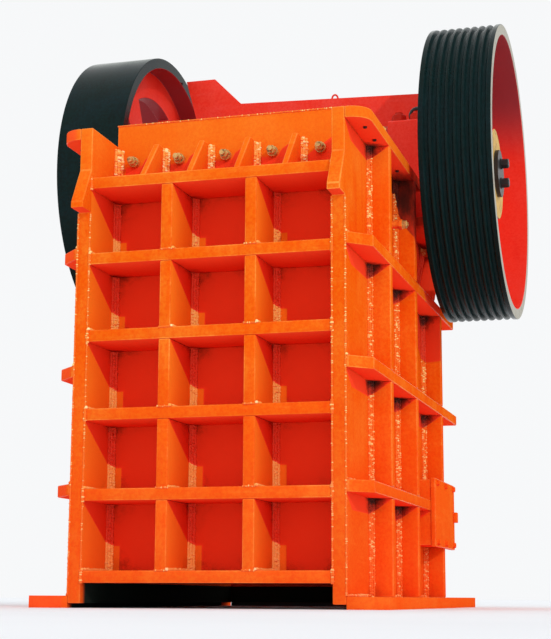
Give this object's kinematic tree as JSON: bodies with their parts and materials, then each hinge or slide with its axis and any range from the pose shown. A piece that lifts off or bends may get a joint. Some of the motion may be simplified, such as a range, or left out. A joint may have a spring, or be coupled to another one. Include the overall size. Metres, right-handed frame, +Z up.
{
  "type": "jaw crusher",
  "caption": "Jaw crusher: a welded ribbed frame around a toothed wedge-shaped chamber, a swing jaw on an eccentric shaft, a flywheel on one side and a grooved belt pulley on the other.",
  "frame": {"origin": "on the ground, under the middle of the machine's overall box", "axes": "+Z up, +X towards the belt pulley, +Y from the ribbed front wall towards the rear wall"},
  "size_m": [2.314, 2.655, 3.111],
  "materials": {
    "orange_paint": "glossy enamel",
    "red_paint": "glossy enamel",
    "wheel_paint": "dark painted casting",
    "steel": "machined",
    "black_steel": "satin",
    "liner_steel": "as cast",
    "casting": "painted casting"
  },
  "bodies": {
    "frame": {"bearing_left": "red_paint", "bearing_right": "red_paint", "bearing_seat_left": "orange_paint", "bearing_seat_right": "orange_paint", "cheek_plate_left": "liner_steel", "cheek_plate_right": "liner_steel", "fixed_jaw_plate": "liner_steel", "foot_left": "orange_paint", "foot_right": "orange_paint", "front_gussets": "orange_paint", "front_posts_1": "orange_paint", "front_posts_2": "orange_paint", "front_rib_1": "orange_paint", "front_rib_2": "orange_paint", "front_rib_3": "orange_paint", "front_rib_4": "orange_paint", "front_rib_5": "orange_paint", "front_rib_6": "orange_paint", "front_wall": "orange_paint", "rear_posts": "orange_paint", "rear_ribs": "orange_paint", "rear_wall": "orange_paint", "rod_bracket": "orange_paint", "shaft_guard": "red_paint", "side_plate_left": "orange_paint", "side_plate_right": "orange_paint", "side_posts_left": "orange_paint", "side_posts_right": "orange_paint", "side_ribs_left": "orange_paint", "side_ribs_right": "orange_paint", "tension_rod": "steel", "tension_spring": "steel", "toggle_plate": "casting", "toggle_seat": "casting", "window_cover_left": "orange_paint", "window_cover_right": "orange_paint", "window_frame_left": "orange_paint", "window_frame_right": "orange_paint"},
    "rotor": {"belt_pulley": "wheel_paint", "eccentric_shaft": "steel", "flywheel": "wheel_paint", "shaft_end_plates": "black_steel"},
    "swing_jaw": {"swing_jaw_casting": "casting", "swing_jaw_plate": "liner_steel"}
  },
  "joints": [
    {"name": "shaft_spin", "type": "hinge", "parent": "frame", "child": "rotor", "pos_m": [0, 0.4465, 2.316], "axis": [1, 0, 0], "continuous": true},
    {"name": "jaw_swing", "type": "hinge", "parent": "rotor", "child": "swing_jaw", "pos_m": [0, 0.4465, 2.301], "axis": [1, 0, 0], "continuous": true}
  ],
  "couplings": [
    {"joint": "jaw_swing", "follows": "shaft_spin", "ratio": -1}
  ]
}
